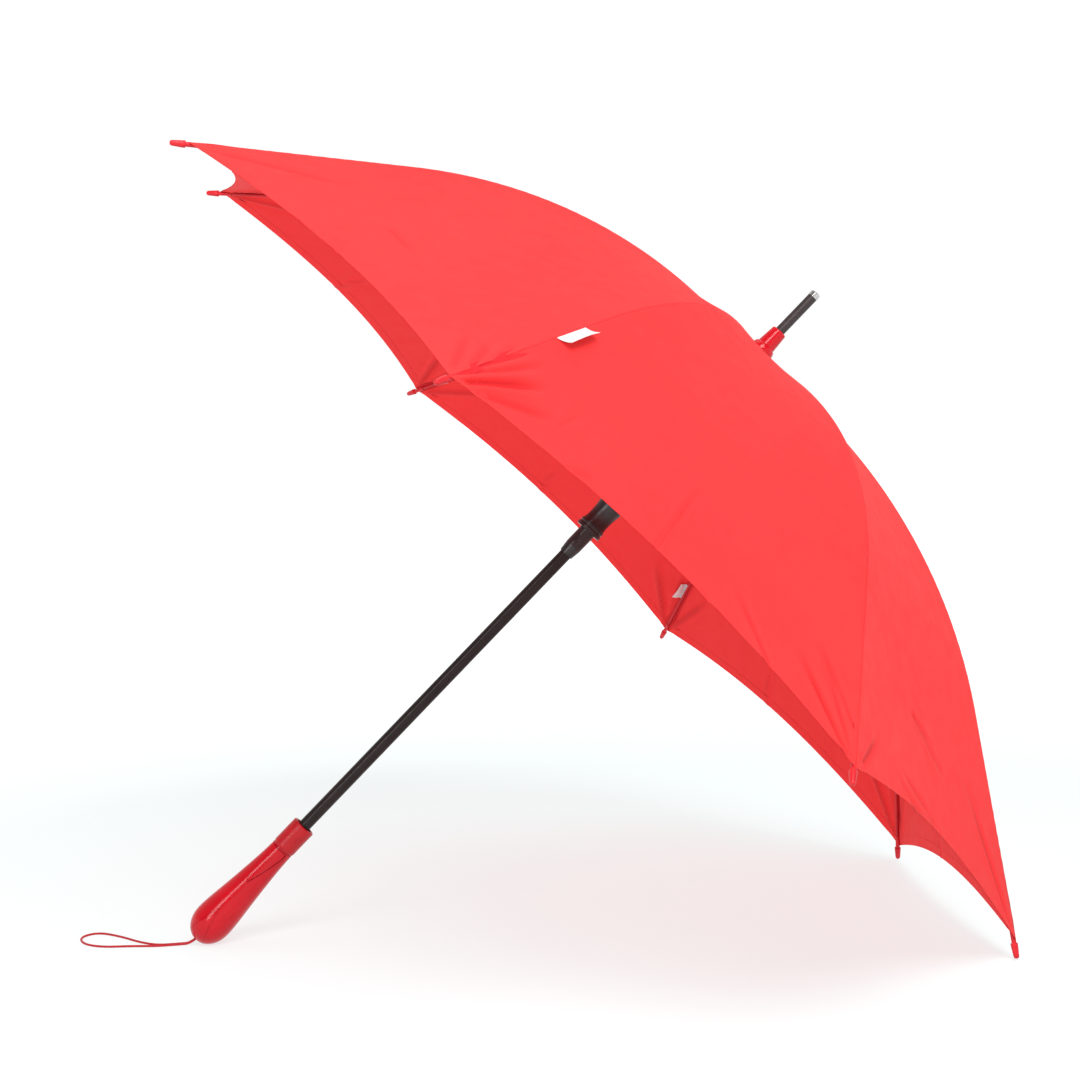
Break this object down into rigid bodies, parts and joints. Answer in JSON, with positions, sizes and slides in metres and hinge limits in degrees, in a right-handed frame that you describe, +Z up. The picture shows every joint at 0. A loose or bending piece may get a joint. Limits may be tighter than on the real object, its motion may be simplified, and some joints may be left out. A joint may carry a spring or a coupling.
{
  "type": "stick umbrella",
  "caption": "Open stick umbrella with a domed fabric canopy on a folding rib frame, straight shaft, plastic handle with release button and wrist cord.",
  "frame": {"origin": "centre of the footprint's bounding box on the floor, with the umbrella lying open on the handle's end and two rib tips", "axes": "+Z up from the floor; the shaft lies in the XZ plane and rises toward +X at about 43.6 degrees, ferrule uppermost; +Y across the canopy, the longest extent"},
  "size_m": [0.8441, 1.011, 0.7331],
  "materials": {
    "canopy_fabric": "smooth woven polyester, slight sheen",
    "frame_steel": "dark plated steel",
    "rib_fibreglass": "dark red fibreglass",
    "tip_plastic": "glossy",
    "shaft_paint": "satin black",
    "black_plastic": "satin black",
    "red_plastic": "glossy",
    "handle_plastic": "glossy",
    "collar_plastic": "satin",
    "bright_metal": "polished",
    "cord": "braided",
    "label_cloth": "plain, blank"
  },
  "bodies": {
    "body": {"shaft": "shaft_paint", "top_notch": "black_plastic", "top_cap": "red_plastic", "ferrule_spike": "black_plastic", "ferrule_end_ring": "bright_metal", "handle_grip": "handle_plastic", "handle_collar": "collar_plastic", "wrist_cord": "cord"},
    "button": {"release_button": "handle_plastic"},
    "runner": {"runner": "black_plastic"},
    "rib_0": {"rib_inner_0": "frame_steel"},
    "rib_end_0": {"rib_outer_0": "rib_fibreglass", "rib_tip_0": "tip_plastic"},
    "strut_0": {"strut_0": "frame_steel"},
    "crown_0": {"gore_crown_0": "canopy_fabric"},
    "skirt_0": {"gore_skirt_0": "canopy_fabric"},
    "rib_1": {"rib_inner_1": "frame_steel"},
    "rib_end_1": {"rib_outer_1": "rib_fibreglass", "rib_tip_1": "tip_plastic"},
    "strut_1": {"strut_1": "frame_steel"},
    "crown_1": {"gore_crown_1": "canopy_fabric"},
    "skirt_1": {"gore_skirt_1": "canopy_fabric", "seam_label": "label_cloth"},
    "rib_2": {"rib_inner_2": "frame_steel"},
    "rib_end_2": {"rib_outer_2": "rib_fibreglass", "rib_tip_2": "tip_plastic"},
    "strut_2": {"strut_2": "frame_steel"},
    "crown_2": {"gore_crown_2": "canopy_fabric"},
    "skirt_2": {"gore_skirt_2": "canopy_fabric"},
    "rib_3": {"rib_inner_3": "frame_steel"},
    "rib_end_3": {"rib_outer_3": "rib_fibreglass", "rib_tip_3": "tip_plastic"},
    "strut_3": {"strut_3": "frame_steel"},
    "crown_3": {"gore_crown_3": "canopy_fabric"},
    "skirt_3": {"gore_skirt_3": "canopy_fabric"},
    "rib_4": {"rib_inner_4": "frame_steel"},
    "rib_end_4": {"rib_outer_4": "rib_fibreglass", "rib_tip_4": "tip_plastic"},
    "strut_4": {"strut_4": "frame_steel"},
    "crown_4": {"gore_crown_4": "canopy_fabric"},
    "skirt_4": {"gore_skirt_4": "canopy_fabric"},
    "rib_5": {"rib_inner_5": "frame_steel"},
    "rib_end_5": {"rib_outer_5": "rib_fibreglass", "rib_tip_5": "tip_plastic"},
    "strut_5": {"strut_5": "frame_steel"},
    "crown_5": {"gore_crown_5": "canopy_fabric"},
    "skirt_5": {"gore_skirt_5": "canopy_fabric", "care_label": "label_cloth"},
    "rib_6": {"rib_inner_6": "frame_steel"},
    "rib_end_6": {"rib_outer_6": "rib_fibreglass", "rib_tip_6": "tip_plastic"},
    "strut_6": {"strut_6": "frame_steel"},
    "crown_6": {"gore_crown_6": "canopy_fabric"},
    "skirt_6": {"gore_skirt_6": "canopy_fabric"},
    "rib_7": {"rib_inner_7": "frame_steel"},
    "rib_end_7": {"rib_outer_7": "rib_fibreglass", "rib_tip_7": "tip_plastic"},
    "strut_7": {"strut_7": "frame_steel"},
    "crown_7": {"gore_crown_7": "canopy_fabric"},
    "skirt_7": {"gore_skirt_7": "canopy_fabric"}
  },
  "joints": [
    {"name": "fold", "type": "hinge", "parent": "body", "child": "rib_0", "pos_m": [0.18934, -0.00344, 0.54245], "axis": [0.2641, -0.9239, -0.2769], "range_deg": [0, 73.18]},
    {"name": "rib_pivot_1", "type": "hinge", "parent": "body", "child": "rib_1", "pos_m": [0.1927, -0.00831, 0.53892], "axis": [0.6376, -0.3827, -0.6686], "range_deg": [0, 73.18]},
    {"name": "rib_pivot_2", "type": "hinge", "parent": "body", "child": "rib_2", "pos_m": [0.19745, -0.00831, 0.53394], "axis": [0.6376, 0.3827, -0.6686], "range_deg": [0, 73.18]},
    {"name": "rib_pivot_3", "type": "hinge", "parent": "body", "child": "rib_3", "pos_m": [0.20081, -0.00344, 0.53041], "axis": [0.2641, 0.9239, -0.2769], "range_deg": [0, 73.18]},
    {"name": "rib_pivot_4", "type": "hinge", "parent": "body", "child": "rib_4", "pos_m": [0.20081, 0.00344, 0.53041], "axis": [-0.2641, 0.9239, 0.2769], "range_deg": [0, 73.18]},
    {"name": "rib_pivot_5", "type": "hinge", "parent": "body", "child": "rib_5", "pos_m": [0.19745, 0.00831, 0.53394], "axis": [-0.6376, 0.3827, 0.6686], "range_deg": [0, 73.18]},
    {"name": "rib_pivot_6", "type": "hinge", "parent": "body", "child": "rib_6", "pos_m": [0.1927, 0.00831, 0.53892], "axis": [-0.6376, -0.3827, 0.6686], "range_deg": [0, 73.18]},
    {"name": "rib_pivot_7", "type": "hinge", "parent": "body", "child": "rib_7", "pos_m": [0.18934, 0.00344, 0.54245], "axis": [-0.2641, -0.9239, 0.2769], "range_deg": [0, 73.18]},
    {"name": "strut_pivot_0", "type": "hinge", "parent": "rib_0", "child": "strut_0", "pos_m": [-0.00336, -0.09567, 0.66635], "axis": [0.2641, -0.9239, -0.2769], "range_deg": [-146.36, 0]},
    {"name": "rib_flex_0", "type": "hinge", "parent": "rib_0", "child": "rib_end_0", "pos_m": [-0.00194, -0.09797, 0.67536], "axis": [0.2641, -0.9239, -0.2769], "range_deg": [-15.2, 0]},
    {"name": "crown_pivot_0", "type": "hinge", "parent": "body", "child": "crown_0", "pos_m": [0.19102, -0.00588, 0.54068], "axis": [0.488, -0.7071, -0.5117], "range_deg": [0, 72.4], "deforming": ["gore_crown_0"]},
    {"name": "skirt_flex_0", "type": "hinge", "parent": "crown_0", "child": "skirt_0", "pos_m": [0.04832, -0.16724, 0.62758], "axis": [0.488, -0.7071, -0.5117], "range_deg": [-16.57, 0], "deforming": ["gore_skirt_0"]},
    {"name": "strut_pivot_1", "type": "hinge", "parent": "rib_1", "child": "strut_1", "pos_m": [0.09001, -0.23097, 0.56844], "axis": [0.6376, -0.3827, -0.6686], "range_deg": [-146.36, 0]},
    {"name": "rib_flex_1", "type": "hinge", "parent": "rib_1", "child": "rib_end_1", "pos_m": [0.09367, -0.23651, 0.5751], "axis": [0.6376, -0.3827, -0.6686], "range_deg": [-15.2, 0]},
    {"name": "crown_pivot_1", "type": "hinge", "parent": "body", "child": "crown_1", "pos_m": [0.19508, -0.00831, 0.53643], "axis": [0.6901, 0, -0.7237], "range_deg": [0, 72.4], "deforming": ["gore_crown_1"]},
    {"name": "skirt_flex_1", "type": "hinge", "parent": "crown_1", "child": "skirt_1", "pos_m": [0.16374, -0.23651, 0.50655], "axis": [0.6901, 0, -0.7237], "range_deg": [-16.57, 0], "deforming": ["gore_skirt_1", "seam_label"]},
    {"name": "strut_pivot_2", "type": "hinge", "parent": "rib_2", "child": "strut_2", "pos_m": [0.22206, -0.23097, 0.42996], "axis": [0.6376, 0.3827, -0.6686], "range_deg": [-146.36, 0]},
    {"name": "rib_flex_2", "type": "hinge", "parent": "rib_2", "child": "rib_end_2", "pos_m": [0.22889, -0.23651, 0.4333], "axis": [0.6376, 0.3827, -0.6686], "range_deg": [-15.2, 0]},
    {"name": "crown_pivot_2", "type": "hinge", "parent": "body", "child": "crown_2", "pos_m": [0.19913, -0.00588, 0.53217], "axis": [0.488, 0.7071, -0.5117], "range_deg": [0, 72.4], "deforming": ["gore_crown_2"]},
    {"name": "skirt_flex_2", "type": "hinge", "parent": "crown_2", "child": "skirt_2", "pos_m": [0.27915, -0.16724, 0.38552], "axis": [0.488, 0.7071, -0.5117], "range_deg": [-16.57, 0], "deforming": ["gore_skirt_2"]},
    {"name": "strut_pivot_3", "type": "hinge", "parent": "rib_3", "child": "strut_3", "pos_m": [0.31543, -0.09567, 0.33205], "axis": [0.2641, 0.9239, -0.2769], "range_deg": [-146.36, 0]},
    {"name": "rib_flex_3", "type": "hinge", "parent": "rib_3", "child": "rib_end_3", "pos_m": [0.3245, -0.09797, 0.33304], "axis": [0.2641, 0.9239, -0.2769], "range_deg": [-15.2, 0]},
    {"name": "crown_pivot_3", "type": "hinge", "parent": "body", "child": "crown_3", "pos_m": [0.20081, 0, 0.53041], "axis": [0, 1, 0], "range_deg": [0, 72.4], "deforming": ["gore_crown_3"]},
    {"name": "skirt_flex_3", "type": "hinge", "parent": "crown_3", "child": "skirt_3", "pos_m": [0.32696, 0, 0.33538], "axis": [0, 1, 0], "range_deg": [-16.57, 0], "deforming": ["gore_skirt_3"]},
    {"name": "strut_pivot_4", "type": "hinge", "parent": "rib_4", "child": "strut_4", "pos_m": [0.31543, 0.09567, 0.33205], "axis": [-0.2641, 0.9239, 0.2769], "range_deg": [-146.36, 0]},
    {"name": "rib_flex_4", "type": "hinge", "parent": "rib_4", "child": "rib_end_4", "pos_m": [0.3245, 0.09797, 0.33304], "axis": [-0.2641, 0.9239, 0.2769], "range_deg": [-15.2, 0]},
    {"name": "crown_pivot_4", "type": "hinge", "parent": "body", "child": "crown_4", "pos_m": [0.19913, 0.00588, 0.53217], "axis": [-0.488, 0.7071, 0.5117], "range_deg": [0, 72.4], "deforming": ["gore_crown_4"]},
    {"name": "skirt_flex_4", "type": "hinge", "parent": "crown_4", "child": "skirt_4", "pos_m": [0.27915, 0.16724, 0.38552], "axis": [-0.488, 0.7071, 0.5117], "range_deg": [-16.57, 0], "deforming": ["gore_skirt_4"]},
    {"name": "strut_pivot_5", "type": "hinge", "parent": "rib_5", "child": "strut_5", "pos_m": [0.22206, 0.23097, 0.42996], "axis": [-0.6376, 0.3827, 0.6686], "range_deg": [-146.36, 0]},
    {"name": "rib_flex_5", "type": "hinge", "parent": "rib_5", "child": "rib_end_5", "pos_m": [0.22889, 0.23651, 0.4333], "axis": [-0.6376, 0.3827, 0.6686], "range_deg": [-15.2, 0]},
    {"name": "crown_pivot_5", "type": "hinge", "parent": "body", "child": "crown_5", "pos_m": [0.19508, 0.00831, 0.53643], "axis": [-0.6901, 0, 0.7237], "range_deg": [0, 72.4], "deforming": ["gore_crown_5"]},
    {"name": "skirt_flex_5", "type": "hinge", "parent": "crown_5", "child": "skirt_5", "pos_m": [0.16374, 0.23651, 0.50655], "axis": [-0.6901, 0, 0.7237], "range_deg": [-16.57, 0], "deforming": ["gore_skirt_5", "care_label"]},
    {"name": "strut_pivot_6", "type": "hinge", "parent": "rib_6", "child": "strut_6", "pos_m": [0.09001, 0.23097, 0.56844], "axis": [-0.6376, -0.3827, 0.6686], "range_deg": [-146.36, 0]},
    {"name": "rib_flex_6", "type": "hinge", "parent": "rib_6", "child": "rib_end_6", "pos_m": [0.09367, 0.23651, 0.5751], "axis": [-0.6376, -0.3827, 0.6686], "range_deg": [-15.2, 0]},
    {"name": "crown_pivot_6", "type": "hinge", "parent": "body", "child": "crown_6", "pos_m": [0.19102, 0.00588, 0.54068], "axis": [-0.488, -0.7071, 0.5117], "range_deg": [0, 72.4], "deforming": ["gore_crown_6"]},
    {"name": "skirt_flex_6", "type": "hinge", "parent": "crown_6", "child": "skirt_6", "pos_m": [0.04832, 0.16724, 0.62758], "axis": [-0.488, -0.7071, 0.5117], "range_deg": [-16.57, 0], "deforming": ["gore_skirt_6"]},
    {"name": "strut_pivot_7", "type": "hinge", "parent": "rib_7", "child": "strut_7", "pos_m": [-0.00336, 0.09567, 0.66635], "axis": [-0.2641, -0.9239, 0.2769], "range_deg": [-146.36, 0]},
    {"name": "rib_flex_7", "type": "hinge", "parent": "rib_7", "child": "rib_end_7", "pos_m": [-0.00194, 0.09797, 0.67536], "axis": [-0.2641, -0.9239, 0.2769], "range_deg": [-15.2, 0]},
    {"name": "crown_pivot_7", "type": "hinge", "parent": "body", "child": "crown_7", "pos_m": [0.18934, 0, 0.54245], "axis": [0, -1, 0], "range_deg": [0, 72.4], "deforming": ["gore_crown_7"]},
    {"name": "skirt_flex_7", "type": "hinge", "parent": "crown_7", "child": "skirt_7", "pos_m": [0.00052, 0, 0.67771], "axis": [0, -1, 0], "range_deg": [-16.57, 0], "deforming": ["gore_skirt_7"]},
    {"name": "runner_pivot", "type": "hinge", "parent": "strut_0", "child": "runner", "pos_m": [0.11126, -0.00344, 0.46799], "axis": [0.2641, -0.9239, -0.2769], "range_deg": [0, 73.18]},
    {"name": "button_press", "type": "slide", "parent": "body", "child": "button", "axis": [0.2133, 0.9511, -0.2236], "range_m": [0, 0.0015], "stiffness_N_per_m": 600, "springref_m": -0.001}
  ],
  "couplings": [
    {"joint": "rib_pivot_1", "follows": "fold", "ratio": 1},
    {"joint": "rib_pivot_2", "follows": "fold", "ratio": 1},
    {"joint": "rib_pivot_3", "follows": "fold", "ratio": 1},
    {"joint": "rib_pivot_4", "follows": "fold", "ratio": 1},
    {"joint": "rib_pivot_5", "follows": "fold", "ratio": 1},
    {"joint": "rib_pivot_6", "follows": "fold", "ratio": 1},
    {"joint": "rib_pivot_7", "follows": "fold", "ratio": 1},
    {"joint": "strut_pivot_0", "follows": "fold", "ratio": -2},
    {"joint": "rib_flex_0", "follows": "fold", "ratio": -0.2077},
    {"joint": "crown_pivot_0", "follows": "fold", "ratio": 0.9893},
    {"joint": "skirt_flex_0", "follows": "fold", "ratio": -0.2264},
    {"joint": "strut_pivot_1", "follows": "fold", "ratio": -2},
    {"joint": "rib_flex_1", "follows": "fold", "ratio": -0.2077},
    {"joint": "crown_pivot_1", "follows": "fold", "ratio": 0.9893},
    {"joint": "skirt_flex_1", "follows": "fold", "ratio": -0.2264},
    {"joint": "strut_pivot_2", "follows": "fold", "ratio": -2},
    {"joint": "rib_flex_2", "follows": "fold", "ratio": -0.2077},
    {"joint": "crown_pivot_2", "follows": "fold", "ratio": 0.9893},
    {"joint": "skirt_flex_2", "follows": "fold", "ratio": -0.2264},
    {"joint": "strut_pivot_3", "follows": "fold", "ratio": -2},
    {"joint": "rib_flex_3", "follows": "fold", "ratio": -0.2077},
    {"joint": "crown_pivot_3", "follows": "fold", "ratio": 0.9893},
    {"joint": "skirt_flex_3", "follows": "fold", "ratio": -0.2264},
    {"joint": "strut_pivot_4", "follows": "fold", "ratio": -2},
    {"joint": "rib_flex_4", "follows": "fold", "ratio": -0.2077},
    {"joint": "crown_pivot_4", "follows": "fold", "ratio": 0.9893},
    {"joint": "skirt_flex_4", "follows": "fold", "ratio": -0.2264},
    {"joint": "strut_pivot_5", "follows": "fold", "ratio": -2},
    {"joint": "rib_flex_5", "follows": "fold", "ratio": -0.2077},
    {"joint": "crown_pivot_5", "follows": "fold", "ratio": 0.9893},
    {"joint": "skirt_flex_5", "follows": "fold", "ratio": -0.2264},
    {"joint": "strut_pivot_6", "follows": "fold", "ratio": -2},
    {"joint": "rib_flex_6", "follows": "fold", "ratio": -0.2077},
    {"joint": "crown_pivot_6", "follows": "fold", "ratio": 0.9893},
    {"joint": "skirt_flex_6", "follows": "fold", "ratio": -0.2264},
    {"joint": "strut_pivot_7", "follows": "fold", "ratio": -2},
    {"joint": "rib_flex_7", "follows": "fold", "ratio": -0.2077},
    {"joint": "crown_pivot_7", "follows": "fold", "ratio": 0.9893},
    {"joint": "skirt_flex_7", "follows": "fold", "ratio": -0.2264},
    {"joint": "runner_pivot", "follows": "fold", "ratio": 1}
  ]
}
